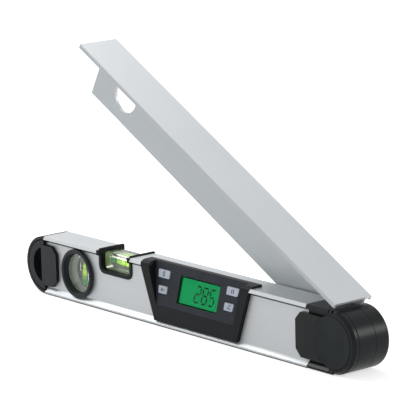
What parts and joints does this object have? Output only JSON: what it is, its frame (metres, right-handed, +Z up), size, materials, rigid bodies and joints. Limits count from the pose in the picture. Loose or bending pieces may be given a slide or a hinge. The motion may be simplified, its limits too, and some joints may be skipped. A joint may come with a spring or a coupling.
{
  "type": "digital angle finder",
  "caption": "Folding digital angle finder: a level body with two vials, a tilted display and buttons, and a long aluminium arm that swings on a hub at one end.",
  "frame": {"origin": "middle of the body's bottom measuring face, on the body profile's own length and depth", "axes": "+X along the body towards the hinge, +Y from the display side to the back, +Z up from the bottom measuring face"},
  "size_m": [0.4941, 0.0457, 0.2652],
  "materials": {
    "anodised": "satin anodised",
    "black_plastic": "fine moulded grain",
    "button_grey": "satin",
    "clear_acrylic": "polished",
    "vial_fluid": "clear tinted liquid",
    "lcd_green": "backlit display",
    "steel": "zinc plated",
    "board_green": "solder mask",
    "cell_wrap": "printed wrap, stands for the cell's mean density",
    "nylon": "plain"
  },
  "bodies": {
    "body": {"body_profile": "anodised", "end_cap": "black_plastic", "end_cap_screw_1": "steel", "end_cap_screw_2": "steel", "plumb_vial_front_bezel": "black_plastic", "plumb_vial_rear_bezel": "black_plastic", "plumb_vial_block": "clear_acrylic", "plumb_vial_fluid": "vial_fluid", "plumb_vial_plug": "clear_acrylic", "level_vial_frame": "black_plastic", "level_vial_block": "clear_acrylic", "level_vial_fluid": "vial_fluid", "level_vial_plug": "clear_acrylic", "display_bezel": "black_plastic", "display_rear_cover": "black_plastic", "display_screw_1": "steel", "display_screw_2": "steel", "display_screw_3": "steel", "display_screw_4": "steel", "lcd_window": "clear_acrylic", "lcd_module": "lcd_green", "main_board": "board_green", "buzzer": "black_plastic", "battery_holder": "black_plastic", "battery_cell_1": "cell_wrap", "battery_cell_2": "cell_wrap", "contact_bridge": "steel", "contact_upper": "steel", "contact_lower": "steel", "battery_door_rails": "black_plastic", "joint_housing": "black_plastic", "joint_screw_1": "steel", "joint_screw_2": "steel", "joint_front_cover": "black_plastic", "cover_screw_1": "steel", "cover_screw_2": "steel", "cover_screw_3": "steel", "hub_disc_front": "black_plastic", "pivot_axle": "steel", "spring_washer": "steel", "axle_nut": "steel", "friction_washer": "nylon", "sensor_board": "board_green"},
    "arm": {"arm_profile": "anodised", "arm_hub": "black_plastic", "hub_disc_rear": "black_plastic", "hub_screw_1": "steel", "hub_screw_2": "steel", "hub_screw_3": "steel", "encoder_disc": "board_green"},
    "zero_button": {"button_zero": "button_grey"},
    "sound_button": {"button_sound": "button_grey"},
    "hold_button": {"button_hold": "button_grey"},
    "reference_button": {"button_reference": "button_grey"},
    "door": {"battery_door": "black_plastic"}
  },
  "joints": [
    {"name": "arm_hinge", "type": "hinge", "parent": "body", "child": "arm", "pos_m": [0.2344, 0, 0.03], "axis": [0, 1, 0], "range_deg": [-28.5, 191.5]},
    {"name": "zero_press", "type": "slide", "parent": "body", "child": "zero_button", "axis": [0, 0.9659, -0.2588], "range_m": [0, 0.0006], "stiffness_N_per_m": 400},
    {"name": "sound_press", "type": "slide", "parent": "body", "child": "sound_button", "axis": [0, 0.9659, -0.2588], "range_m": [0, 0.0006], "stiffness_N_per_m": 400},
    {"name": "hold_press", "type": "slide", "parent": "body", "child": "hold_button", "axis": [0, 0.9659, -0.2588], "range_m": [0, 0.0006], "stiffness_N_per_m": 400},
    {"name": "reference_press", "type": "slide", "parent": "body", "child": "reference_button", "axis": [0, 0.9659, -0.2588], "range_m": [0, 0.0006], "stiffness_N_per_m": 400},
    {"name": "door_slide", "type": "slide", "parent": "body", "child": "door", "axis": [-1, 0, 0], "range_m": [0, 0.012]}
  ]
}
